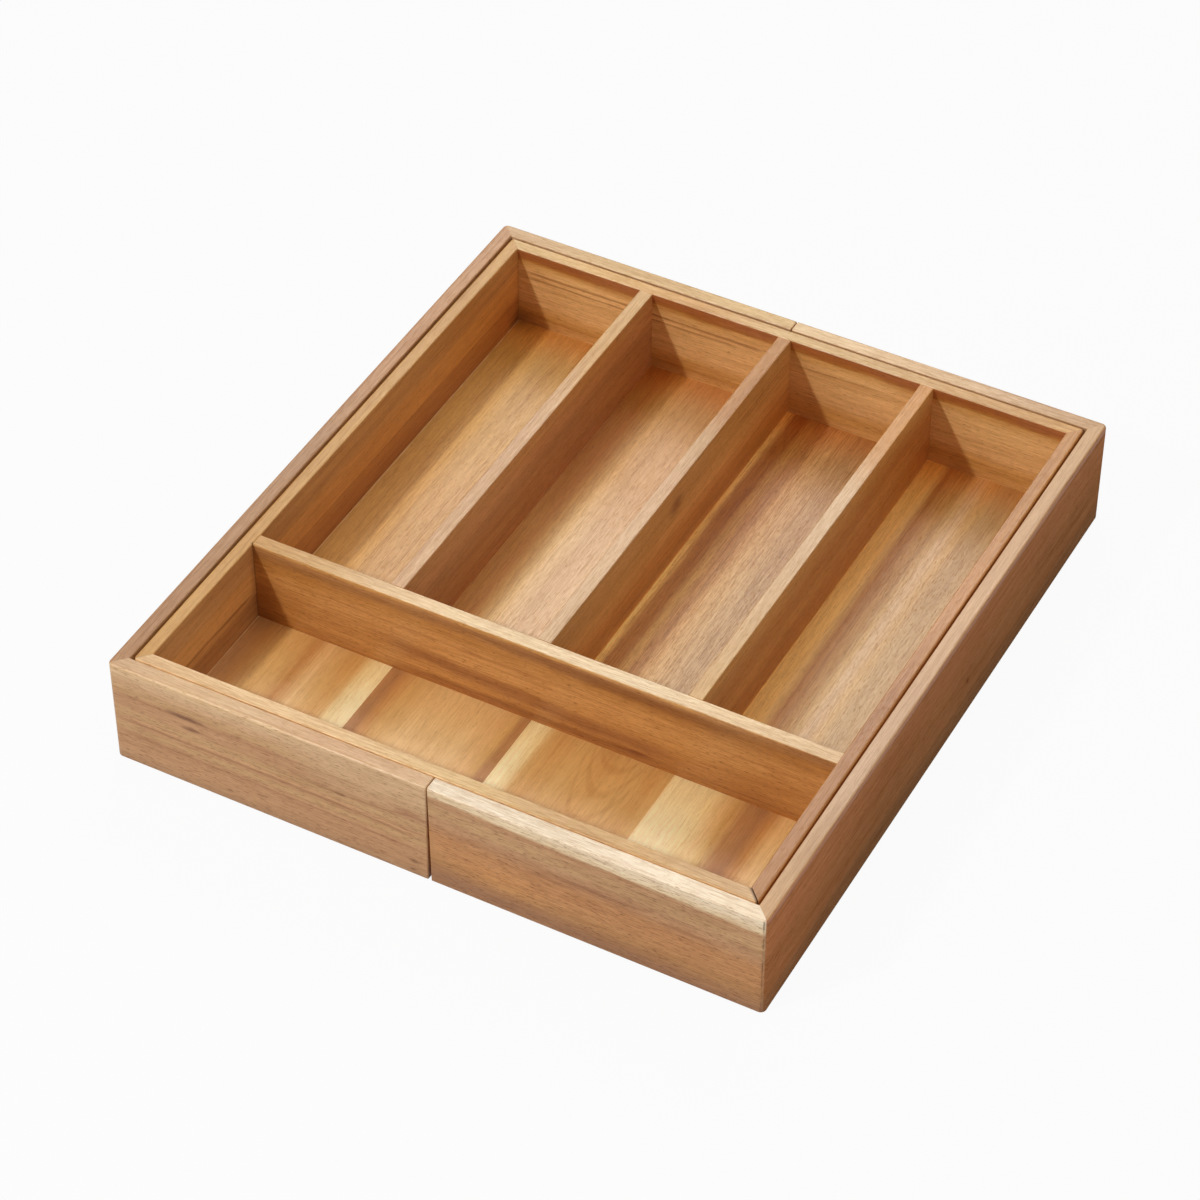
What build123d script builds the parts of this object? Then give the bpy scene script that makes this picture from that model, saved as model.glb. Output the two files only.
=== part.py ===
"""Expanding cutlery tray in solid wood.

A five-bay centre tray stands between two U-shaped sleeves. The sleeves meet at
mid-front and mid-rear, and each slides outwards along X on two guide strips.
X runs along the front, Y to the rear, Z up. The origin is the centre of the
closed tray's footprint, on the surface that the tray stands on.
"""
import os

from build123d import *

os.makedirs("parts", exist_ok=True)

# Overall size with both sleeves pushed home
tray_width = 350.0
tray_depth = 386.0
tray_height = 62.0

# Outer rails: one U of front, end and rear rail for each sleeve
rail_thickness = 8.0
rail_corner_round = 3.0
rail_top_round = 1.5
rail_foot_round = 0.8
rail_arris = 0.4
seam_gap_top = 0.5
seam_gap_foot = 1.6

# Bottom panel of each sleeve, held in a groove round the rails
sleeve_panel_thickness = 4.0
sleeve_panel_lift = 1.5
sleeve_panel_groove = 3.0
panel_slack = 0.3

# Centre tray: four mitred walls
wall_thickness = 7.0
wall_corner_round = 2.0
wall_top_round = 1.2
wall_arris = 0.4
wall_top_drop = 0.3
side_gap = 1.2
end_gap = 0.8
slide_clearance = 0.3
open_mitre = 0.5

# Dividers: one across, and long ones behind it that make equal bays
divider_thickness = 7.6
divider_top_drop = 0.4
divider_top_round = 0.6
front_bay_depth = 88.7
long_bay_count = 4
tongue_thickness = 3.0
tongue_length = 2.0
tongue_stop = 8.0

# Base of the centre tray: boards glued edge to edge, held in a groove round the walls
base_thickness = 5.5
base_lift = 1.7
base_groove = 2.5
base_seam_shares = (-0.252, -0.010, 0.232)

# Guide strips on the centre tray, and the stopped grooves in the rails that they run in
slide_travel = 80.0
guide_end_inset = 12.7
guide_height = 5.0
guide_lift = 30.0
guide_housing = 2.0
guide_reach = 2.5
groove_end_wood = 12.0
stop_clearance = 0.3
home_clearance = 0.5

# Planes and half sizes worked out from the sizes above
half_width = tray_width / 2
half_depth = tray_depth / 2
panel_top = sleeve_panel_lift + sleeve_panel_thickness

wall_foot = panel_top + slide_clearance
wall_top = tray_height - wall_top_drop
centre_half_width = half_width - rail_thickness - side_gap
centre_half_depth = half_depth - rail_thickness - end_gap
inner_half_width = centre_half_width - wall_thickness
inner_half_depth = centre_half_depth - wall_thickness

base_foot = wall_foot + base_lift
base_top = base_foot + base_thickness
base_half_width = inner_half_width + base_groove
base_half_depth = inner_half_depth + base_groove

divider_top = wall_top - divider_top_drop
cross_front = -inner_half_depth + front_bay_depth
cross_back = cross_front + divider_thickness
long_bay_width = (2 * inner_half_width - (long_bay_count - 1) * divider_thickness) / long_bay_count

groove_inner_end = seam_gap_foot / 2 + groove_end_wood
guide_inner_end = groove_inner_end + slide_travel + stop_clearance
guide_outer_end = centre_half_width - guide_end_inset
groove_outer_end = guide_outer_end + home_clearance


def slab(x_range, y_range, z_range, mode=Mode.ADD):
    """Add a square-edged slab between these limits to the current part, or cut it away."""
    middle = ((x_range[0] + x_range[1]) / 2, (y_range[0] + y_range[1]) / 2)
    with BuildSketch(Plane.XY.offset(z_range[0])) as outline:
        with Locations(middle):
            Rectangle(x_range[1] - x_range[0], y_range[1] - y_range[0])
    extrude(outline.sketch, amount=z_range[1] - z_range[0], mode=mode)


def mitred_board(half_length, face_distance, thickness, corner, z_range):
    """A board along X, mitred at both ends, with its outer face at Y = -face_distance.

    Each end carries its half of the frame's rounded corner.
    """
    corner_y = -face_distance + corner
    inner_y = -face_distance + thickness
    inner_end = half_length - thickness
    with BuildSketch(Plane.XY.offset(z_range[0])) as outline:
        with BuildLine():
            left = CenterArc((-half_length + corner, corner_y), corner, 225, 45)
            right = CenterArc((half_length - corner, corner_y), corner, 270, 45)
            Line(left @ 1, right @ 0)
            Polyline(right @ 1, (inner_end, inner_y), (-inner_end, inner_y), left @ 0)
        make_face()
    extrude(outline.sketch, amount=z_range[1] - z_range[0])


def outer_edges(level):
    """The current part's edges at one level that follow its outer face and corner halves."""
    flat = edges().filter_by_position(Axis.Z, level, level)
    return flat.filter_by(GeomType.CIRCLE) + flat.filter_by(Axis.X).sort_by(Axis.Y)[:1]


def inner_edge(level):
    """The current part's long edge at one level on its inner face."""
    flat = edges().filter_by_position(Axis.Z, level, level)
    return flat.filter_by(Axis.X).sort_by(Axis.Y)[-1]


def rail_stock(half_length, face_distance):
    """A whole outer rail with its edges eased, before its grooves and seam are cut."""
    mitred_board(half_length, face_distance, rail_thickness, rail_corner_round, (0, tray_height))
    fillet(outer_edges(tray_height), rail_top_round)
    fillet(outer_edges(0), rail_foot_round)
    chamfer(inner_edge(tray_height), rail_arris)


def wall_stock(half_length, face_distance):
    """A wall of the centre tray with its top edges eased, before its grooves are cut."""
    mitred_board(half_length, face_distance, wall_thickness, wall_corner_round, (wall_foot, wall_top))
    fillet(outer_edges(wall_top), wall_top_round)
    chamfer(inner_edge(wall_top), wall_arris)


def write(piece, name):
    """Label a finished piece and write it as its own file."""
    piece.part.label = name
    export_step(piece.part, f"parts/{name}.step")


# Sleeves
# The left sleeve is built, and the right one is its mirror image.
groove_half_width = half_width - rail_thickness + sleeve_panel_groove
groove_half_depth = half_depth - rail_thickness + sleeve_panel_groove
sleeve_panel_z = (sleeve_panel_lift, panel_top)

# The panel groove runs round the rails and is open at the seam.
panel_groove = ((-groove_half_width, 0), (-groove_half_depth, groove_half_depth), sleeve_panel_z)

# The guide groove in a front rail is blind at both ends: its ends are the sleeve's stops.
rail_inner_face = -half_depth + rail_thickness
guide_groove = (
    (-groove_outer_end, -groove_inner_end),
    (rail_inner_face - guide_reach - slide_clearance, rail_inner_face),
    (guide_lift - slide_clearance, guide_lift + guide_height + slide_clearance),
)

# The seam leans, so that the two sleeves all but meet at the top and stand open at the foot.
seam_lean = (seam_gap_foot - seam_gap_top) / 2
seam_plane = Plane(origin=(-seam_gap_top / 2, 0, tray_height), z_dir=(-tray_height, 0, seam_lean))

with BuildPart() as left_front_rail:
    rail_stock(half_width, half_depth)
    split(bisect_by=seam_plane, keep=Keep.TOP)
    chamfer(faces().sort_by(Axis.X)[-1].edges(), rail_arris)
    slab(*panel_groove, mode=Mode.SUBTRACT)
    slab(*guide_groove, mode=Mode.SUBTRACT)

with BuildPart() as left_rear_rail:
    mirror(left_front_rail.part, about=Plane.XZ)

with BuildPart() as end_rail_blank:
    rail_stock(half_depth, half_width)

with BuildPart() as left_end_rail:
    add(end_rail_blank.part, rotation=(0, 0, -90))
    slab(*panel_groove, mode=Mode.SUBTRACT)

with BuildPart() as left_bottom_panel:
    slab(
        (-groove_half_width + panel_slack, -seam_gap_foot / 2),
        (-groove_half_depth + panel_slack, groove_half_depth - panel_slack),
        sleeve_panel_z,
    )

left_sleeve = {
    "front_rail": left_front_rail,
    "rear_rail": left_rear_rail,
    "end_rail": left_end_rail,
    "bottom_panel": left_bottom_panel,
}
for place, piece in left_sleeve.items():
    with BuildPart() as twin:
        mirror(piece.part, about=Plane.YZ)
    write(piece, f"left_{place}")
    write(twin, f"right_{place}")


# Centre tray
# The base sits in a groove all round the walls.
base_z = (base_foot, base_top)
base_groove_space = (
    (-base_half_width, base_half_width),
    (-base_half_depth, base_half_depth),
    base_z,
)

# Stopped tongues hold the dividers' ends. The cross divider's run into the end walls.
tongue_z = (base_top, divider_top - tongue_stop)
cross_middle = (cross_front + cross_back) / 2
cross_tongues = (
    (-inner_half_width - tongue_length, inner_half_width + tongue_length),
    (cross_middle - tongue_thickness / 2, cross_middle + tongue_thickness / 2),
    tongue_z,
)

# The long dividers' tongues run into the cross divider and the rear wall.
long_pitch = long_bay_width + divider_thickness
long_dividers = range(1, long_bay_count)
long_middles = {n: -inner_half_width + n * long_pitch - divider_thickness / 2 for n in long_dividers}
long_tongues = {
    n: (
        (middle - tongue_thickness / 2, middle + tongue_thickness / 2),
        (cross_back - tongue_length, inner_half_depth + tongue_length),
        tongue_z,
    )
    for n, middle in long_middles.items()
}

# The guide strips are let into the front and rear walls, and reach into the rails.
guide_x = {
    "left": (-guide_outer_end, -guide_inner_end),
    "right": (guide_inner_end, guide_outer_end),
}
guide_y = (rail_inner_face - guide_reach, -centre_half_depth + guide_housing)
guide_z = (guide_lift, guide_lift + guide_height)

with BuildPart() as front_wall:
    wall_stock(centre_half_width, centre_half_depth)
    slab(*base_groove_space, mode=Mode.SUBTRACT)
    for x_range in guide_x.values():
        slab(x_range, guide_y, guide_z, mode=Mode.SUBTRACT)
write(front_wall, "centre_front_wall")

with BuildPart() as rear_wall:
    mirror(front_wall.part, about=Plane.XZ)
    for tongues in long_tongues.values():
        slab(*tongues, mode=Mode.SUBTRACT)
write(rear_wall, "centre_rear_wall")

with BuildPart() as end_wall_blank:
    wall_stock(centre_half_depth, centre_half_width)

with BuildPart() as left_wall:
    add(end_wall_blank.part, rotation=(0, 0, -90))
    slab(*base_groove_space, mode=Mode.SUBTRACT)
    slab(*cross_tongues, mode=Mode.SUBTRACT)
write(left_wall, "centre_left_wall")

# The front mitre of the right wall stands open by a hair.
mitre_plane = Plane(origin=(inner_half_width, -inner_half_depth, 0), z_dir=(1, 1, 0))
with BuildPart() as right_wall:
    mirror(left_wall.part, about=Plane.YZ)
    split(bisect_by=mitre_plane.offset(open_mitre), keep=Keep.TOP)
write(right_wall, "centre_right_wall")

with BuildPart() as cross_divider:
    slab((-inner_half_width, inner_half_width), (cross_front, cross_back), (base_top, divider_top))
    top_edges = edges().filter_by_position(Axis.Z, divider_top, divider_top)
    fillet(top_edges.filter_by(Axis.X), divider_top_round)
    slab(*cross_tongues)
    for tongues in long_tongues.values():
        slab(*tongues, mode=Mode.SUBTRACT)
write(cross_divider, "cross_divider")

for number, middle in long_middles.items():
    with BuildPart() as long_divider:
        slab(
            (middle - divider_thickness / 2, middle + divider_thickness / 2),
            (cross_back, inner_half_depth),
            (base_top, divider_top),
        )
        top_edges = edges().filter_by_position(Axis.Z, divider_top, divider_top)
        fillet(top_edges.filter_by(Axis.Y), divider_top_round)
        slab(*long_tongues[number])
    write(long_divider, f"long_divider_{number}")

# The base boards lie edge to edge, from left to right, with room to swell at the outer edges.
board_edges = [
    -base_half_width + panel_slack,
    *(2 * base_half_width * share for share in base_seam_shares),
    base_half_width - panel_slack,
]
base_reach = base_half_depth - panel_slack
for number in range(1, len(board_edges)):
    with BuildPart() as base_board:
        slab((board_edges[number - 1], board_edges[number]), (-base_reach, base_reach), base_z)
    write(base_board, f"base_board_{number}")

for side, x_range in guide_x.items():
    with BuildPart() as front_strip:
        slab(x_range, guide_y, guide_z)
    with BuildPart() as rear_strip:
        mirror(front_strip.part, about=Plane.XZ)
    write(front_strip, f"guide_strip_front_{side}")
    write(rear_strip, f"guide_strip_rear_{side}")
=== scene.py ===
"""Looks of an expanding cutlery tray in oiled acacia, in metres, in the frame of its CAD model.

The five-bay centre tray comes first, in the order that it is glued up, then the two
sleeves that slide round it, then the studio.
"""
import math

import bpy
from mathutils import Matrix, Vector


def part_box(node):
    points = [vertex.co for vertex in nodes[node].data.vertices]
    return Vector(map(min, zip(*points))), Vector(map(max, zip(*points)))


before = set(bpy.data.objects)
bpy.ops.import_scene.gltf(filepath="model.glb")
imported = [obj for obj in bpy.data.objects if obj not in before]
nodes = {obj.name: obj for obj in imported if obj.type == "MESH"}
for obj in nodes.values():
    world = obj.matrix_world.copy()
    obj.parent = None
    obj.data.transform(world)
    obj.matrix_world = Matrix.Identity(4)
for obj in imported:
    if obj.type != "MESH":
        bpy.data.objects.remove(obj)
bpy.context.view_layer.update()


# Base of the centre tray
# Four acacia boards, glued edge to edge and held in a groove all round the walls. Brown
# heartwood and cream sapwood alternate across them, and the top is sanded and oiled.
MM = 0.001
X, Y, Z = 0, 1, 2


def tone(red, green, blue):
    """A colour given as it looks on a screen, 0 to 255, in the linear values that shaders take."""
    shares = [channel / 255 for channel in (red, green, blue)]
    return tuple(s / 12.92 if s <= 0.04045 else ((s + 0.055) / 1.055) ** 2.4 for s in shares)


class Wood:
    """The finish of one board: stripes across it, fibres and pores along it, and its marks.

    Each call works on the colour that the calls before it made. Lengths are in millimetres,
    and X, Y and Z are places in the tray's own frame. Noise strays about a quarter to each
    side of its middle, so four times a length makes it stray by that length.
    """
    swing = 4

    def __init__(self, name, grain, seed):
        self.material = bpy.data.materials.new(name)
        self.material.use_nodes = True
        self.tree = self.material.node_tree
        self.tree.nodes.clear()
        self.grain = grain
        self.seed = seed
        coordinates = self.node("ShaderNodeTexCoord")
        self.place = self.vector("SCALE", coordinates.outputs["Object"], scale=1 / MM)
        split = self.node("ShaderNodeSeparateXYZ")
        self.put(split.inputs[0], self.place)
        self.axes = list(split.outputs)
        self.colour = None
        self.top = 0.0

    def node(self, kind, **settings):
        """Add a node with these settings."""
        made = self.tree.nodes.new(kind)
        for setting, value in settings.items():
            setattr(made, setting, value)
        return made

    def put(self, socket, value):
        """Link what another node gives to a socket, or set the socket to a plain value."""
        if isinstance(value, bpy.types.NodeSocket):
            self.tree.links.new(value, socket)
        else:
            socket.default_value = value

    def math(self, operation, *values):
        """The number that one sum, product or other operation gives."""
        made = self.node("ShaderNodeMath", operation=operation)
        for socket, value in zip(made.inputs, values):
            self.put(socket, value)
        return made.outputs[0]

    def vector(self, operation, first, second=None, scale=None):
        """The vector, or for LENGTH the number, that a vector operation gives."""
        made = self.node("ShaderNodeVectorMath", operation=operation)
        self.put(made.inputs[0], first)
        if second is not None:
            self.put(made.inputs[1], second)
        if scale is not None:
            self.put(made.inputs["Scale"], scale)
        return made.outputs["Value" if operation == "LENGTH" else "Vector"]

    def rise(self, value, low, high, smooth=True):
        """A mask that goes from 0 where the value is low to 1 where it is high."""
        kind = "SMOOTHSTEP" if smooth else "LINEAR"
        made = self.node("ShaderNodeMapRange", interpolation_type=kind)
        self.put(made.inputs["Value"], value)
        self.put(made.inputs["From Min"], low)
        self.put(made.inputs["From Max"], high)
        return made.outputs[0]

    def fall(self, value, low, high):
        """A mask that goes from 1 where the value is low to 0 where it is high."""
        return self.math("SUBTRACT", 1.0, self.rise(value, low, high))

    def noise(self, length, width, detail=2.0, roughness=0.5, layer=0.0):
        """Noise drawn out along the grain, in marks of about this length and width."""
        stretch = [1 / width] * 3
        stretch[self.grain] = 1 / length
        drawn = self.vector("MULTIPLY", self.place, stretch)
        moved = self.vector("ADD", drawn, (self.seed, layer, self.seed + layer))
        made = self.node("ShaderNodeTexNoise")
        self.put(made.inputs["Vector"], moved)
        made.inputs["Scale"].default_value = 1.0
        made.inputs["Detail"].default_value = detail
        made.inputs["Roughness"].default_value = roughness
        return made.outputs[0]

    def mix(self, mask, colour, strength, kind):
        """Bring a colour in where the mask is, as paint or as a stain."""
        made = self.node("ShaderNodeMix", data_type="RGBA", blend_type=kind)
        self.put(made.inputs[0], self.math("MULTIPLY", mask, strength))
        self.put(made.inputs[6], self.colour)
        plain = not isinstance(colour, bpy.types.NodeSocket)
        self.put(made.inputs[7], (*colour, 1.0) if plain else colour)
        self.colour = made.outputs[2]

    def stain(self, mask, colour, strength=1.0):
        """Multiply the wood by a colour where the mask is."""
        self.mix(mask, colour, strength, "MULTIPLY")

    def paint(self, mask, colour, strength=1.0):
        """Turn the wood to a colour where the mask is."""
        self.mix(mask, colour, strength, "MIX")

    def ramp(self, place, stops):
        """The colour at a place between stops. Each stop is a place and a colour."""
        first, last = stops[0][0], stops[-1][0]
        made = self.node("ShaderNodeValToRGB")
        elements = made.color_ramp.elements
        for stop, _ in stops[1:-1]:
            elements.new((stop - first) / (last - first))
        elements[len(stops) - 1].position = 1.0
        for element, (_, colour) in zip(elements, stops):
            element.color = (*colour, 1.0)
        self.put(made.inputs[0], self.rise(place, first, last, smooth=False))
        return made.outputs[0]

    def stripes(self, axis, stops, wander=1.5, ragged=0.6, tilt=0.0):
        """Stripes of colour across an axis, which stray and lean a little along the board."""
        drift = self.math("SUBTRACT", self.noise(170, 60, detail=1, layer=3.1), 0.5)
        fringe = self.math("SUBTRACT", self.noise(24, 1.6, detail=3, layer=5.7), 0.5)
        across = self.math("MULTIPLY_ADD", self.axes[self.grain], tilt, self.axes[axis])
        across = self.math("MULTIPLY_ADD", drift, self.swing * wander, across)
        across = self.math("MULTIPLY_ADD", fringe, self.swing * ragged, across)
        self.colour = self.ramp(across, stops)

    def fibres(self, cloud=1.0, curl=0.3, streak=1.0, hair=1.0, fine=1.0, pore=1.0):
        """Clouds, curls, streaks, hairlines, fibres and open pores, each with its strength."""
        clouds = self.rise(self.noise(80, 13, layer=1.3), 0.34, 0.66)
        curls = self.rise(self.noise(13, 3.4, detail=3, roughness=0.6, layer=4.7), 0.36, 0.66)
        streaks = self.rise(self.noise(90, 2.2, detail=4, roughness=0.6, layer=7.9), 0.4, 0.66)
        hairs = self.rise(self.noise(46, 0.8, detail=2, roughness=0.6, layer=9.3), 0.5, 0.68)
        self.fine = self.rise(self.noise(9, 0.5, detail=3, roughness=0.7, layer=11.3), 0.38, 0.66)
        self.pore = self.rise(self.noise(3.4, 0.42, detail=1, layer=17.9), 0.58, 0.72)
        filled_on_top = 0.6
        open_part = self.math("MULTIPLY_ADD", self.top, -filled_on_top, 1.0)
        make_up_for_layers = (1.25, 1.33, 1.43)
        self.stain(1.0, make_up_for_layers)
        self.stain(clouds, (0.88, 0.84, 0.8), 0.6 * cloud)
        self.stain(curls, (0.86, 0.8, 0.74), 0.6 * curl)
        self.stain(streaks, (0.82, 0.74, 0.66), 0.6 * streak)
        self.stain(hairs, (0.78, 0.68, 0.58), 0.6 * hair)
        self.stain(self.fine, (0.76, 0.68, 0.6), 0.68 * fine)
        open_pores = self.math("MULTIPLY", self.pore, open_part)
        self.stain(open_pores, (0.6, 0.5, 0.42), 0.7 * pore)

    def vein(self, along, across, points, width, colour, strength=1.0, fade=12):
        """A soft streak through points, each a place along and a place across.

        It reaches its width to each side, and fades out over the last part of its length.
        """
        first, last = points[0][0], points[-1][0]
        heights = [height for _, height in points]
        low, high = min(heights) - 1, max(heights) + 1
        path = self.node("ShaderNodeFloatCurve")
        curve = path.mapping.curves[0]
        for place, height in points[1:-1]:
            curve.points.new((place - first) / (last - first), (height - low) / (high - low))
        curve.points[0].location = (0, (heights[0] - low) / (high - low))
        curve.points[-1].location = (1, (heights[-1] - low) / (high - low))
        path.mapping.update()
        self.put(path.inputs["Value"], self.rise(self.axes[along], first, last, smooth=False))
        line = self.math("MULTIPLY_ADD", path.outputs[0], high - low, low)
        fringe = self.math("SUBTRACT", self.noise(20, 1.5, detail=3, layer=23.1), 0.5)
        off = self.math("ABSOLUTE", self.math("SUBTRACT", self.axes[across], line))
        off = self.math("MULTIPLY_ADD", fringe, 1.2 * width, off)
        mask = self.fall(off, 0.2 * width, width)
        mask = self.math("MULTIPLY", mask, self.rise(self.axes[along], first, first + fade))
        mask = self.math("MULTIPLY", mask, self.fall(self.axes[along], last - fade, last))
        self.stain(mask, colour, strength)

    def mark(self, centre, reach, colour, strength=1.0):
        """A soft spot round a point, reaching this far along each axis: a fleck in the wood, or
        painted shade.
        """
        away = self.vector("SUBTRACT", self.place, centre)
        away = self.vector("MULTIPLY", away, [1 / r for r in reach])
        far = self.vector("LENGTH", away)
        fringe = self.math("SUBTRACT", self.noise(12, 1.2, detail=3, layer=29.7), 0.5)
        far = self.math("MULTIPLY_ADD", fringe, 1.1, far)
        self.stain(self.fall(far, 0.1, 1), colour, strength)

    def edge(self, axes, at, reach, colour, strength=1.0, broken=0.5):
        """A narrow band along a straight edge or joint, worn or soiled in patches."""
        first = self.math("SUBTRACT", self.axes[axes[0]], at[0])
        second = self.math("SUBTRACT", self.axes[axes[1]], at[1])
        square = self.math("MULTIPLY_ADD", first, first, self.math("MULTIPLY", second, second))
        patches = self.math("SUBTRACT", self.noise(9, 5, detail=3, layer=31.3), 0.5)
        straight = self.math("SQRT", square)
        far = self.math("MULTIPLY_ADD", patches, self.swing * broken * reach, straight)
        self.paint(self.fall(far, 0.2 * reach, reach), colour, strength)

    def crest(self, level, stops, depth=0.8):
        """The paler, sanded top of an upright board, with stops of colour along it."""
        self.top = self.rise(self.axes[Z], level - depth, level)
        self.paint(self.top, self.ramp(self.axes[self.grain], stops))

    def rings(self, centre, width, length, spacing, colour, strength=1.0):
        """Arches of growth rings in a flat-sawn board, round a point and open to the rear."""
        side = self.math("DIVIDE", self.math("SUBTRACT", self.axes[X], centre[X]), width)
        bowl = self.math("MULTIPLY", side, side)
        ahead = self.math("DIVIDE", self.math("SUBTRACT", self.axes[Y], centre[Y]), length)
        arch = self.math("SUBTRACT", bowl, ahead)
        arch = self.math("MULTIPLY_ADD", self.noise(60, 30, detail=1, layer=37.9), 0.6, arch)
        wave = self.math("SINE", self.math("MULTIPLY", arch, math.tau / spacing))
        near = self.math("ADD", bowl, self.math("MULTIPLY", ahead, ahead))
        mask = self.math("MULTIPLY", self.rise(wave, 0, 1), self.fall(near, 0.2, 1.6))
        self.stain(mask, colour, strength)

    def mitre(self, corner, turn, half_width, colour, strength=1.0):
        """The joint line of a mitre seen from above, through a corner and along a diagonal."""
        along = self.math("SUBTRACT", self.axes[X], corner[0])
        away = self.math("SUBTRACT", self.axes[Y], corner[1])
        off = self.math("ABSOLUTE", self.math("MULTIPLY_ADD", along, turn, away))
        near = self.math("MULTIPLY", self.math("ABSOLUTE", along), 0.1)
        mask = self.math("MULTIPLY", self.fall(off, 0, 2 * half_width), self.fall(near, 0.8, 1))
        self.stain(mask, colour, strength)

    def polish(self, *names, roughness=0.3, specular=0.5, coat=0.0):
        """Close the finish with a satin oil coat, and put it on these nodes."""
        shader = self.node("ShaderNodeBsdfPrincipled")
        shader.inputs["Specular IOR Level"].default_value = specular
        shader.inputs["Coat Roughness"].default_value = 0.36
        self.put(shader.inputs["Coat Weight"], coat)
        dry_fibre, dry_pore = 0.08, 0.16
        rough = self.math("MULTIPLY_ADD", self.fine, dry_fibre, roughness)
        rough = self.math("MULTIPLY_ADD", self.pore, dry_pore, rough)
        self.put(shader.inputs["Roughness"], rough)
        self.put(shader.inputs["Base Color"], self.colour)
        fibre_depth, pore_depth = 0.012, 0.05
        fibre_relief = self.math("MULTIPLY", self.fine, -fibre_depth)
        relief = self.math("MULTIPLY_ADD", self.pore, -pore_depth, fibre_relief)
        bump = self.node("ShaderNodeBump")
        bump.inputs["Distance"].default_value = MM
        self.put(bump.inputs["Height"], relief)
        self.put(shader.inputs["Normal"], bump.outputs[0])
        output = self.node("ShaderNodeOutputMaterial")
        self.put(output.inputs["Surface"], shader.outputs[0])
        for name in names:
            nodes[name].data.materials.clear()
            nodes[name].data.materials.append(self.material)


def span(name, axis):
    """The lowest and highest place of a node on an axis, in millimetres."""
    low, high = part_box(name)
    return low[axis] / MM, high[axis] / MM


board_edge = span("base_board_1", X)[0]
floor_level = span("base_board_1", Z)[1]
cross_front, cross_back = span("cross_divider", Y)
inner_left, inner_right = span("centre_left_wall", X)[1], span("centre_right_wall", X)[0]
inner_front, inner_rear = span("centre_front_wall", Y)[1], span("centre_rear_wall", Y)[0]

umber = tone(190, 135, 80)
tawny = tone(205, 145, 80)
honey = tone(220, 170, 100)
wheat = tone(235, 190, 125)
ochre = tone(215, 160, 90)
straw = tone(245, 215, 150)
cream = tone(255, 230, 170)
sunny = tone(210, 155, 80)
dun = tone(210, 165, 105)
buff = tone(215, 175, 130)
cinnamon = tone(180, 125, 75)
corn = tone(230, 180, 115)
russet = tone(195, 130, 65)
nutmeg = tone(185, 125, 60)
oat = tone(225, 185, 135)
golden = tone(250, 200, 115)
saffron = tone(245, 185, 100)
walnut = tone(180, 115, 50)
drab = tone(195, 145, 100)
khaki = tone(190, 150, 100)
apricot = tone(230, 175, 100)
maple = tone(235, 195, 140)

# Each board's stripes from left to right: first under the front bay, then under the long bays.
# Then how much paler the long bays are at their front, and the painted shade towards their rear.
base_stripes = {
    "base_board_1": (
        [(-161, umber), (-152, umber), (-145, tawny), (-138, honey), (-126, honey), (-120, tawny),
         (-112, wheat), (-104, honey), (-98, ochre), (-94, honey), (-90, straw), (-84, cream)],
        [(-161, sunny), (-145, sunny), (-138, honey), (-131, dun), (-105, dun), (-82, buff)],
        (1.0, 0.98, 0.96), (0.96, 0.97, 0.86),
    ),
    "base_board_2": (
        [(-81, umber), (-79, umber), (-75, cinnamon), (-70, tawny), (-63, honey), (-50, wheat),
         (-24, wheat), (-15, corn), (-9, honey), (-6, umber), (-3, umber)],
        [(-81, russet), (-73, nutmeg), (-67, russet), (-62, ochre), (-57, wheat), (-51, oat),
         (-42, buff), (-3, buff)],
        (1.04, 1.08, 1.08), (0.84, 0.71, 0.53),
    ),
    "base_board_3": (
        [(-3, straw), (3, cream), (8, straw), (12, honey), (18, ochre), (30, honey), (45, ochre),
         (60, honey), (70, ochre), (75, honey)],
        [(-3, golden), (5, golden), (8, russet), (11, walnut), (14, walnut), (18, sunny),
         (24, tawny), (34, dun), (48, khaki), (56, khaki), (75, dun)],
        (1.03, 1.06, 1.07), (0.9, 0.81, 0.72),
    ),
    "base_board_4": (
        [(75, wheat), (79, cream), (92, cream), (100, straw), (107, wheat), (112, honey),
         (118, umber), (126, cinnamon), (131, tawny), (137, wheat), (161, straw)],
        [(75, saffron), (93, saffron), (96, apricot), (100, russet), (104, tawny), (109, ochre),
         (114, dun), (118, buff), (124, dun), (130, khaki), (137, khaki), (161, dun)],
        (1.0, 1.06, 1.08), (0.93, 0.87, 0.78),
    ),
}
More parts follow.
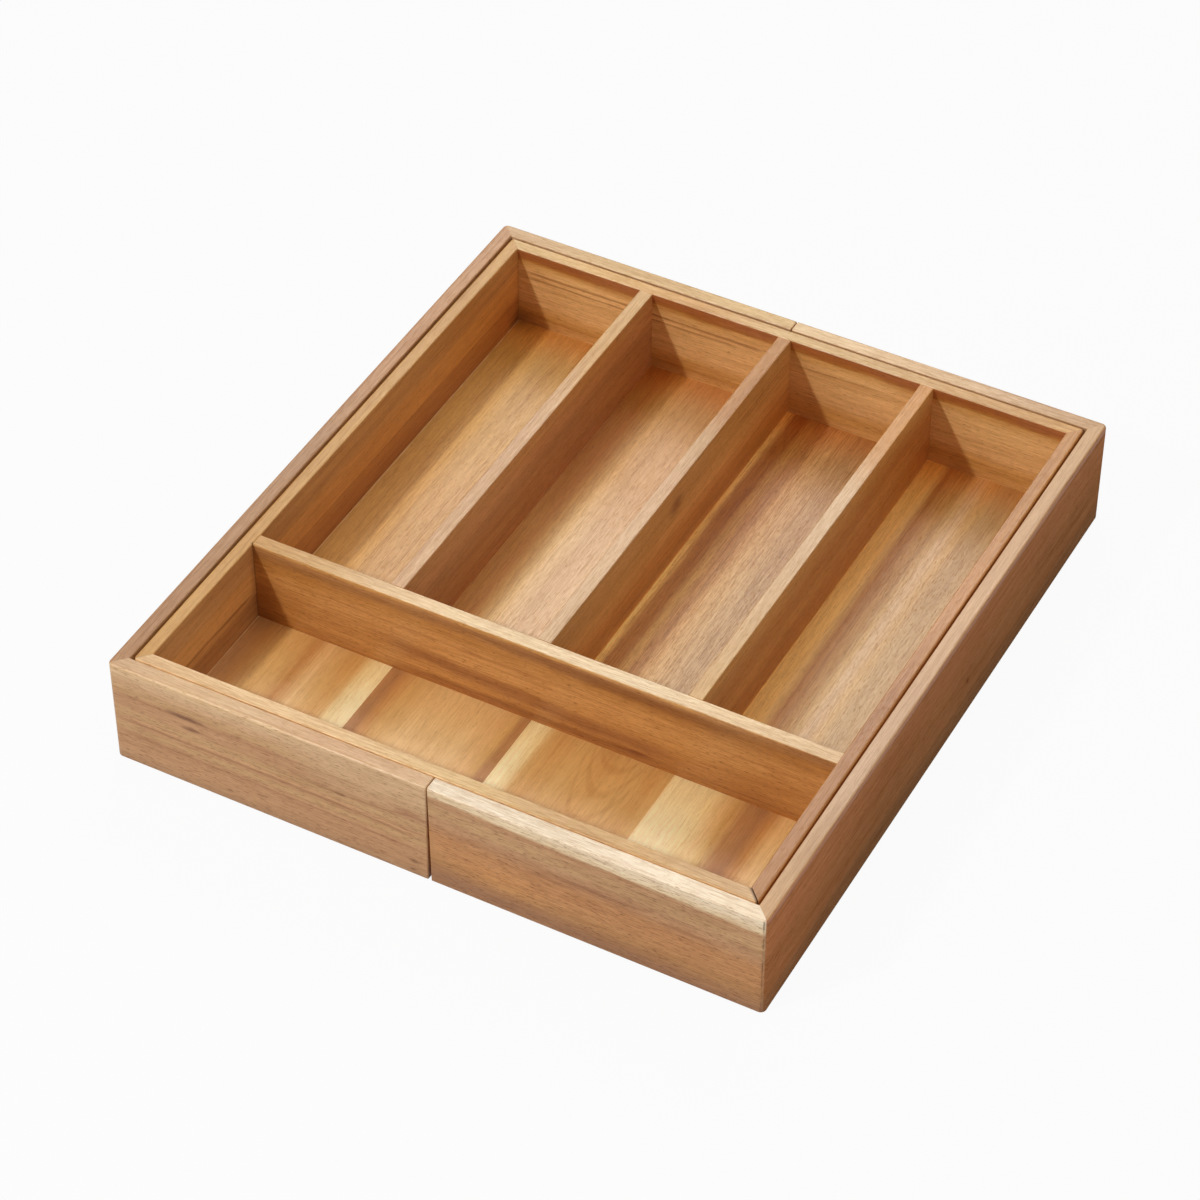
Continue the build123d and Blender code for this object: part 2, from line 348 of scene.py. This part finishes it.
# Painted shade darkens the floor towards the cross divider, along the long bays, and at the rear
# wall.
front_painted_shade_start = -124
front_painted_shade_end = cross_front - 8
long_painted_shade_start, long_painted_shade_end = 30, 100
rear_painted_shade_start = 146
rear_painted_shade_end = inner_rear - 1
for number, (name, figure) in enumerate(base_stripes.items()):
    front_stops, rear_stops, pale, long_painted_shade = figure
    board = Wood(name + "_acacia", Y, seed=3.7 * number + 1.9)
    board.stripes(X, front_stops, wander=1.2, ragged=0.3, tilt=-0.02)
    if name == "base_board_3":
        board.rings((48, -112), width=17, length=44, spacing=0.4,
                    colour=(0.88, 0.81, 0.74), strength=0.7)
    board.stain(1.0, (0.99, 1.0, 1.05))
    board.fibres(curl=0.1, streak=0.5, hair=0.6, fine=0.6, pore=0.4)
    # Painted shade: the front bay floor darkens towards the cross divider.
    front_painted_shade = board.rise(board.axes[Y], front_painted_shade_start, front_painted_shade_end)
    board.stain(front_painted_shade, (0.88, 0.8, 0.68))
    if name == "base_board_4":
        board.mark((109, -136, floor_level), (9, 26, 9), (1.14, 1.34, 1.52))
    front_colour = board.colour
    board.stripes(X, rear_stops, wander=1.2)
    if name == "base_board_3":
        board.rings((51, 25), width=8, length=60, spacing=0.7,
                    colour=(0.86, 0.8, 0.76), strength=0.6)
    figured = 1.5 if name == "base_board_3" else 1.0
    board.fibres(curl=0.2 * figured, streak=0.7, hair=figured, fine=figured, pore=0.6 * figured)
    board.stain(1.0, pale)
    # Painted shade: the long bay floors turn browner from their middle towards the rear.
    board.stain(board.rise(board.axes[Y], long_painted_shade_start, long_painted_shade_end), long_painted_shade)
    # Painted shade along the foot of the rear wall.
    rear_painted_shade = board.rise(board.axes[Y], rear_painted_shade_start, rear_painted_shade_end)
    board.stain(rear_painted_shade, (0.9, 0.62, 0.37))
    board.paint(board.fall(board.axes[Y], cross_front, cross_back), front_colour)
    if name == "base_board_1":
        # Painted shade in the rear left corner of the floor.
        board.mark((board_edge, 178, floor_level), (22, 15, 9), (0.6, 0.52, 0.44), 0.9)
        board.edge((X, Z), (inner_left, floor_level), reach=0.7, colour=maple, strength=0.7)
    board.polish(name)


# Walls of the centre tray
# Four boards 7 mm thick, grooved for the base, mitred at the corners and glued round it.
# Their top edges are eased and sanded.
wall_top = span("centre_left_wall", Z)[1]
soot = (0.32, 0.24, 0.2)
camel = tone(205, 155, 90)
sand = tone(220, 180, 120)
rust = tone(170, 100, 50)
ginger = tone(220, 155, 80)
coffee = tone(115, 70, 40)
caramel = tone(200, 140, 85)
toffee = tone(195, 135, 70)
front_wall = Wood("front_wall_acacia", X, seed=20.5)
front_wall.stripes(Z, [(6, camel), (30, dun), (62, corn)])
front_wall.crest(wall_top, [(-166, oat), (-50, maple), (20, sand), (60, dun), (110, dun),
                            (166, oat)])
front_wall.fibres(fine=1.1)
front_wall.mitre((inner_left, inner_front), turn=-1, half_width=0.4, colour=soot, strength=0.5)
front_wall.mitre((inner_right, inner_front), turn=1, half_width=0.9, colour=soot)
front_wall.polish("centre_front_wall")

rear_wall = Wood("rear_wall_acacia", X, seed=22.8)
rear_wall.stripes(Z, [(6, ochre), (16, ochre), (20, sunny), (25, ochre), (29, corn), (38, corn),
                      (42, corn), (50, corn), (54, ochre), (56, walnut), (58, rust),
                      (62, rust)], wander=0.7, ragged=1.1)
rear_wall.vein(X, Z, [(-159, 48.2), (-60, 48), (-6, 47.5)], 1.2, (0.6, 0.46, 0.36), 0.9)
rear_wall.vein(X, Z, [(-159, 44.6), (-70, 44.6), (-22, 45)], 1.0, (0.6, 0.46, 0.36), 0.8)
rear_wall.vein(X, Z, [(5, 46), (60, 47.5)], 1.1, (0.74, 0.64, 0.55), 0.8)
rear_wall.vein(X, Z, [(-159, 20), (-60, 19), (0, 20)], 2.0, (0.86, 0.78, 0.7), 0.8)
# Painted shade in the rear left corner.
rear_wall.mark((-159, inner_rear, 14), (20, 9, 13), (0.62, 0.52, 0.44), 0.9)
rear_wall.crest(wall_top, [(-166, sand), (-100, honey), (-50, ochre), (0, sand), (60, dun),
                           (166, sunny)])
rear_wall.fibres(streak=1.1, hair=0.7)
rear_wall.edge((X, Y), (inner_left, inner_rear), reach=0.8, colour=honey, strength=0.5)
rear_wall.mitre((inner_left, inner_rear), turn=1, half_width=0.4, colour=soot, strength=0.4)
rear_wall.polish("centre_rear_wall")

left_wall = Wood("left_wall_acacia", Y, seed=26.1)
left_wall.stripes(Z, [(6, russet), (18, russet), (27, russet), (31, ginger), (43, ginger),
                      (48, tawny), (62, tawny)])
left_wall.vein(Y, Z, [(-178, 31), (-120, 31.5), (-88, 30)], 1.6, (0.62, 0.52, 0.46))
left_wall.vein(Y, Z, [(-84, 30), (60, 29), (177, 28)], 1.2, (0.8, 0.72, 0.66), 0.7)
left_wall.vein(Y, Z, [(-84, 49), (60, 50), (177, 49)], 1.8, (0.88, 0.82, 0.78), 0.7)
left_wall.vein(Y, Z, [(-184, 22), (-130, 22), (-84, 22)], 12, (0.86, 0.88, 0.92), fade=4)
beside_front_bay = left_wall.fall(left_wall.axes[Y], -90, -84)
left_wall.stain(beside_front_bay, (0.97, 1.1, 1.45))
# Painted shade in the rear left corner, beside the cross divider, and along the foot of the wall.
left_wall.mark((inner_left, 177, 14), (9, 15, 12), (0.5, 0.42, 0.36), 0.9)
left_wall.mark((inner_left, cross_front, 36), (9, 6, 40), (0.72, 0.64, 0.58), 0.8)
left_wall.mark((inner_left, 60, 13), (9, 150, 5), (0.84, 0.76, 0.7), 0.8)
left_wall.crest(wall_top, [(-184, camel), (184, camel)])
left_wall.fibres(fine=0.8, pore=0.8)
left_wall.edge((Y, X), (cross_front, inner_left), reach=0.9, colour=coffee, strength=0.8)
left_wall.polish("centre_left_wall")

right_wall = Wood("right_wall_acacia", Y, seed=29.0)
right_wall.stripes(Z, [(6, russet), (30, tawny), (62, tawny)])
right_wall.crest(wall_top, [(-184, cinnamon), (-50, cinnamon), (50, caramel), (120, toffee),
                            (184, toffee)])
right_wall.fibres(fine=0.8, pore=0.8)
right_wall.mitre((inner_right, inner_front), turn=1, half_width=0.7, colour=soot)
right_wall.polish("centre_right_wall")


# Dividers
# One board across the tray, and three behind it from front to rear, 7.6 mm thick, with
# stopped tongues at their ends. Their top corners are rounded over.
divider_top = span("cross_divider", Z)[1]
hazel = tone(170, 115, 65)
barley = tone(235, 200, 150)
almond = tone(240, 210, 165)
biscuit = tone(210, 165, 120)
amber = tone(205, 140, 65)
fawn = tone(200, 155, 105)
cross = Wood("cross_divider_acacia", X, seed=33.3)
cross.stripes(Z, [(13, walnut), (16, nutmeg), (22, toffee), (30, toffee), (36, tawny), (44, tawny),
                  (48, toffee), (52, nutmeg), (57, hazel), (59.5, cinnamon),
                  (61.5, ochre)], ragged=1.0)
cross.vein(X, Z, [(-98, 33), (-70, 30), (-40, 28.5), (0, 26.5), (40, 24.5), (90, 26)], 6,
           (0.72, 0.62, 0.6), fade=40)
cross.vein(X, Z, [(-60, 59), (0, 56.5), (40, 55), (80, 53.5), (158, 51.5)], 5,
           (0.76, 0.67, 0.62), fade=70)
cross.vein(X, Z, [(-84, 17), (0, 16.5), (72, 17.5)], 3.2, (0.78, 0.68, 0.62), fade=25)
cross.vein(X, Z, [(-84, 21), (-50, 20.5), (-16, 20.5)], 1.0, (1.14, 1.16, 1.18), fade=16)
cross.vein(X, Z, [(-146, 46), (-60, 43), (40, 44)], 1.4, (0.88, 0.82, 0.78), fade=30)
cross.vein(X, Z, [(-20, 61), (60, 59.8), (158, 59)], 2.4, (1.22, 1.34, 1.5), fade=70)
cross.mark((92, cross_front, 19), (70, 9, 12), (0.86, 0.79, 0.74), 0.9)
cross.mark((54, cross_front, 18), (15, 9, 1.8), (0.6, 0.4, 0.34))
cross.mark((-36, cross_front, 43), (12, 9, 4), (0.8, 0.72, 0.66), 0.8)
cross.mark((-6, cross_front, 43), (9, 9, 4), (0.84, 0.76, 0.7), 0.8)
# Painted shade in the corner by the left wall.
cross.mark((-157, cross_front, 20), (17, 9, 40), (0.66, 0.57, 0.5), 0.9)
cross.stain(1.0, (1.02, 1.07, 1.1))
cross.crest(divider_top, [(-159, camel), (-120, dun), (-90, oat), (-58, barley), (60, almond),
                          (100, barley), (159, oat)])
cross.fibres(curl=0.4, hair=0.7, fine=1.2, pore=1.2)
cross.polish("cross_divider")

# Each long divider's stripes from the foot up, and its top from front to rear.
long_dividers = {
    "long_divider_1": (
        [(13, caramel), (22, umber), (40, cinnamon), (48, caramel), (62, tawny)],
        [(-81, biscuit), (60, biscuit), (120, camel), (177, dun)],
    ),
    "long_divider_2": (
        [(13, ginger), (19, amber), (26, ginger), (37, apricot), (46, ochre), (62, ochre)],
        [(-81, buff), (50, biscuit), (85, fawn), (110, nutmeg), (177, nutmeg)],
    ),
    "long_divider_3": (
        [(13, tawny), (19, russet), (26, russet), (34, tawny), (44, russet), (52, tawny),
         (57, ochre), (62, apricot)],
        [(-81, dun), (45, buff), (85, buff), (120, tawny), (177, amber)],
    ),
}
for number, (name, (face_stops, top_stops)) in enumerate(long_dividers.items()):
    divider = Wood(name + "_acacia", Y, seed=4.1 * number + 44.8)
    is_first = name == "long_divider_1"
    divider.stripes(Z, face_stops, wander=1.5 if is_first else 0.5, ragged=0.2)
    face = span(name, X)[1]
    if not is_first:
        divider.edge((X, Z), (face, floor_level), reach=1.1, colour=golden, strength=0.9,
                     broken=0.1)
    if name == "long_divider_2":
        divider.mark((face, 49, 48), (6, 11, 9), (0.58, 0.47, 0.43))
        divider.vein(Y, Z, [(112, 49.6), (180, 49)], 0.9, (0.7, 0.58, 0.5), 0.9)
        divider.vein(Y, Z, [(118, 47.4), (180, 47)], 0.8, (0.7, 0.58, 0.5), 0.8)
    divider.crest(divider_top, top_stops)
    divider.fibres(fine=0.9, pore=0.9)
    divider.polish(name)


# Guide strips
# Four planed strips let into the front and rear walls, which the sleeves' grooves run on.
strip = Wood("guide_strip_acacia", X, seed=51.9)
strip.stripes(Z, [(30, ochre), (35, corn)])
strip.fibres()
strip.polish(*(name for name in nodes if name.startswith("guide_strip")))


# Sleeves
# Two U-shaped frames of rails 8 mm thick, mitred at the outer corners and open at the
# middle, each with a thin bottom panel in a groove.
rail_top = span("left_end_rail", Z)[1]
rail_face = span("left_front_rail", Y)[0]
rail_end = span("right_end_rail", X)[1]
taupe = tone(180, 135, 95)
putty = tone(200, 160, 120)
mocha = tone(170, 120, 80)
sienna = tone(185, 125, 80)
chestnut = tone(195, 130, 85)
ivory = tone(245, 220, 185)
linen = tone(245, 225, 195)
left_front = Wood("left_front_rail_acacia", X, seed=60.1)
left_front.stripes(Z, [(0, taupe), (9, drab), (19, drab), (24, fawn), (28, drab), (33, fawn),
                       (38, drab), (44, drab), (48, fawn), (53, biscuit), (57, buff),
                       (62, oat)], wander=1.0)
in_upper = left_front.rise(left_front.axes[Z], 28, 52)
near_seam = left_front.rise(left_front.axes[X], -90, -45)
left_front.paint(left_front.math("MULTIPLY", in_upper, near_seam), buff, 0.75)
left_front.vein(X, Z, [(-175, 27.5), (-60, 27.5), (-25, 26.5), (0, 24.5)], 1.2,
                (0.76, 0.66, 0.58), 0.8, fade=20)
left_front.vein(X, Z, [(-175, 29.6), (-60, 29.4), (-25, 28.4), (0, 26)], 0.9,
                (1.14, 1.16, 1.18), fade=20)
left_front.vein(X, Z, [(-175, 19), (-60, 18.5), (0, 17.5)], 1.2, (0.78, 0.69, 0.62), 0.8)
left_front.vein(X, Z, [(-175, 45), (-100, 44), (-30, 46)], 1.1, (0.8, 0.71, 0.64), 0.7)
left_front.vein(X, Z, [(-80, 38), (-48, 35), (0, 43)], 1.0, (0.82, 0.74, 0.68), 0.8)
left_front.mark((-132, rail_face, 45), (15, 9, 2.4), (0.48, 0.37, 0.32))
left_front.mark((-129, rail_face, 38.3), (8, 9, 2.2), (0.46, 0.36, 0.31))
left_front.mark((-48, rail_face, 35), (6, 9, 1.6), (0.58, 0.47, 0.4), 0.9)
left_front.mark((-10, rail_face, 40), (14, 9, 4), (0.78, 0.66, 0.6), 0.9)
left_front.mark((-8, rail_face, 9), (4, 9, 1.5), (0.5, 0.4, 0.32), 0.9)
left_front.mark((-9, rail_face, 3.5), (3, 9, 1.2), (0.5, 0.4, 0.32), 0.9)
left_front.mark((-110, rail_face, 7), (3, 9, 1.2), (0.6, 0.5, 0.42), 0.8)
left_front.mark((-92, rail_face, 12), (5, 9, 1.1), (0.66, 0.56, 0.48), 0.8)
left_front.crest(rail_top, [(-175, putty), (-140, buff), (-95, buff), (-60, biscuit), (0, buff)])
left_front.fibres(cloud=0.8, curl=0.5, streak=0.7, hair=0.7, pore=1.2)
left_front.polish("left_front_rail")

right_front = Wood("right_front_rail_acacia", X, seed=65.4)
right_front.stripes(Z, [(0, mocha), (7, mocha), (16, umber), (24, caramel), (32, caramel),
                        (42, drab), (48, fawn), (56.2, drab), (58.4, almond), (64, ivory)],
                    wander=0.9, ragged=0.8, tilt=0.027)
right_front.stain(1.0, (1.02, 1.03, 1.05))
right_front.mark((38, rail_face, 18), (36, 9, 12), (1.16, 1.13, 1.02), 0.8)
right_front.mark((88, rail_face, 37), (34, 9, 2.2), (0.7, 0.6, 0.56), 0.9)
right_front.mark((64, rail_face, 33), (22, 9, 1.8), (0.74, 0.64, 0.6), 0.8)
right_front.mark((132, rail_face, 34), (26, 9, 1.8), (0.78, 0.69, 0.64), 0.8)
right_front.mark((20, rail_face, 38), (22, 9, 4), (0.86, 0.8, 0.76), 0.8)
right_front.crest(rail_top, [(0, linen), (175, ivory)])
right_front.fibres(cloud=1.3, curl=0.8, streak=0.7, hair=0.6, fine=1.2, pore=1.4)
mitre_line = rail_end - 1.6
right_front.edge((X, Y), (mitre_line, rail_face), reach=0.5, colour=coffee, strength=0.8)
right_front.polish("right_front_rail")

rear_rail_tops = {
    "left_rear_rail": [(-175, buff), (-100, sand), (0, sand)],
    "right_rear_rail": [(0, barley), (60, oat), (120, buff), (175, fawn)],
}
for number, (name, top_stops) in enumerate(rear_rail_tops.items()):
    rail = Wood(name + "_acacia", X, seed=5.3 * number + 70.7)
    rail.stripes(Z, [(0, drab), (20, fawn), (38, drab), (62, buff)])
    rail.crest(rail_top, top_stops)
    rail.fibres()
    rail.polish(name)

left_end = Wood("left_end_rail_acacia", Y, seed=80.9)
left_end.stripes(Z, [(0, drab), (24, fawn), (40, drab), (62, fawn)])
left_end.crest(rail_top, [(-193, taupe), (0, taupe), (60, drab), (193, drab)])
left_end.fibres()
left_end.polish("left_end_rail")

right_end = Wood("right_end_rail_acacia", Y, seed=86.8)
right_end.stripes(Z, [(0, mocha), (9, mocha), (14, sienna), (30, sienna), (42, chestnut),
                      (62, chestnut)])
# Painted light: the shaded outer face is lighter towards the front.
front_part = right_end.fall(right_end.axes[Y], -193, -60)
right_end.stain(front_part, (1.14, 1.08, 1.06))
right_end.mark((rail_end, 27, 23), (9, 2.0, 2.6), (0.6, 0.5, 0.46), 0.9)
right_end.crest(rail_top, [(-193, fawn), (-100, putty), (50, biscuit), (193, fawn)])
right_end.fibres(fine=0.8, pore=0.8)
rounded_edge = right_end.rise(right_end.axes[Z], 58, 61)
right_end.polish("right_end_rail", specular=0.0, roughness=0.6, coat=rounded_edge)

panel_wood = Wood("bottom_panel_acacia", Y, seed=95.3)
panel_wood.stripes(X, [(-175, fawn), (-80, drab), (0, buff), (70, drab), (175, fawn)])
panel_wood.fibres()
panel_wood.polish("left_bottom_panel", "right_bottom_panel")


# Studio
# A white floor, a small key lamp in front on the left, a wide soft panel behind, which
# gives the tops and the floors their sheen, and three weaker panels that fill the shadows.
lamp_target = Vector((0, 0, 0.03))


def shine(name, place, width, height, level):
    """A lamp at a place, turned to the tray, with this brightness over its face."""
    lamp = bpy.data.lights.new(name, "AREA")
    lamp.shape = "RECTANGLE"
    lamp.size = width
    lamp.size_y = height
    lamp.energy = level * math.pi * width * height
    holder = bpy.data.objects.new(name, lamp)
    holder.location = place
    holder.rotation_mode = "QUATERNION"
    holder.rotation_quaternion = (lamp_target - Vector(place)).to_track_quat("-Z", "Y")
    bpy.context.scene.collection.objects.link(holder)


shine("key_lamp", (-0.78, -1.5, 1.6), width=0.11, height=0.11, level=490.0)
shine("front_panel", (-1.2, -2.4, 0.9), width=1.6, height=1.6, level=2.4)
shine("rear_panel", (-0.4, 1.9, 1.9), width=2.1, height=1.2, level=3.6)
shine("top_panel", (0.35, -0.2, 2.35), width=1.6, height=1.6, level=2.0)
shine("right_panel", (2.4, -0.6, 1.0), width=1.6, height=1.6, level=1.1)

plain_white = (1, 1, 1, 1)
lens_share = 0.94


def white_to_lens(tree, lit, glossy_share):
    """Mix what is lit with plain white for camera rays, and in part for glossy and clear ones."""
    path = tree.nodes.new("ShaderNodeLightPath")
    bright = tree.nodes.new("ShaderNodeMath")
    bright.operation = "MAXIMUM"
    tree.links.new(path.outputs["Is Glossy Ray"], bright.inputs[0])
    tree.links.new(path.outputs["Is Transmission Ray"], bright.inputs[1])
    part = tree.nodes.new("ShaderNodeMath")
    part.operation = "MULTIPLY"
    part.inputs[1].default_value = glossy_share
    tree.links.new(bright.outputs[0], part.inputs[0])
    camera_part = tree.nodes.new("ShaderNodeMath")
    camera_part.operation = "MULTIPLY_ADD"
    camera_part.inputs[1].default_value = lens_share
    tree.links.new(path.outputs["Is Camera Ray"], camera_part.inputs[0])
    tree.links.new(part.outputs[0], camera_part.inputs[2])
    mixed = tree.nodes.new("ShaderNodeMixShader")
    tree.links.new(camera_part.outputs[0], mixed.inputs[0])
    tree.links.new(lit, mixed.inputs[1])
    return mixed


floor_half = 6.0
floor_drop = 0.0002
floor_grey = (0.6, 0.6, 0.6, 1)
floor_glossy_share = 0.2
floor_mesh = bpy.data.meshes.new("floor")
corners = [(-1, -1), (1, -1), (1, 1), (-1, 1)]
places = [(x * floor_half, y * floor_half, -floor_drop) for x, y in corners]
floor_mesh.from_pydata(places, [], [(0, 1, 2, 3)])
floor = bpy.data.objects.new("floor", floor_mesh)
bpy.context.scene.collection.objects.link(floor)
floor_paint = bpy.data.materials.new("floor_paint")
floor_paint.use_nodes = True
floor_tree = floor_paint.node_tree
floor_tree.nodes.clear()
matt = floor_tree.nodes.new("ShaderNodeBsdfDiffuse")
matt.inputs["Color"].default_value = floor_grey
glow = floor_tree.nodes.new("ShaderNodeEmission")
floor_mix = white_to_lens(floor_tree, matt.outputs[0], floor_glossy_share)
floor_tree.links.new(glow.outputs[0], floor_mix.inputs[2])
floor_out = floor_tree.nodes.new("ShaderNodeOutputMaterial")
floor_tree.links.new(floor_mix.outputs[0], floor_out.inputs[0])
floor_mesh.materials.append(floor_paint)

room_level = 0.05
room_glossy_share = 0.3
world = bpy.data.worlds.new("studio")
bpy.context.scene.world = world
world.use_nodes = True
world_tree = world.node_tree
world_tree.nodes.clear()
dim = world_tree.nodes.new("ShaderNodeBackground")
dim.inputs["Color"].default_value = plain_white
dim.inputs["Strength"].default_value = room_level
white = world_tree.nodes.new("ShaderNodeBackground")
white.inputs["Color"].default_value = plain_white
world_mix = white_to_lens(world_tree, dim.outputs[0], room_glossy_share)
world_tree.links.new(white.outputs[0], world_mix.inputs[2])
world_out = world_tree.nodes.new("ShaderNodeOutputWorld")
world_tree.links.new(world_mix.outputs[0], world_out.inputs[0])

# The camera stands in front on the right and looks down at the tray, as in the photo.
camera_place = (0.66405, -1.25676, 1.34928)
azimuth, elevation = math.radians(28.323), math.radians(43.054)
sensor_mm, lens_mm = 36, 117.36
nearest, farthest = 0.05, 50
level_part = math.cos(elevation)
ahead = math.cos(azimuth) * level_part
aside = math.sin(azimuth) * level_part
look = Vector((-aside, ahead, -math.sin(elevation)))
camera_data = bpy.data.cameras.new("camera")
camera_data.sensor_width = sensor_mm
camera_data.lens = lens_mm
camera_data.clip_start = nearest
camera_data.clip_end = farthest
camera = bpy.data.objects.new("camera", camera_data)
camera.location = camera_place
camera.rotation_mode = "QUATERNION"
camera.rotation_quaternion = look.to_track_quat("-Z", "Y")
bpy.context.scene.collection.objects.link(camera)
bpy.context.scene.camera = camera
bpy.context.scene.view_settings.view_transform = "Standard"
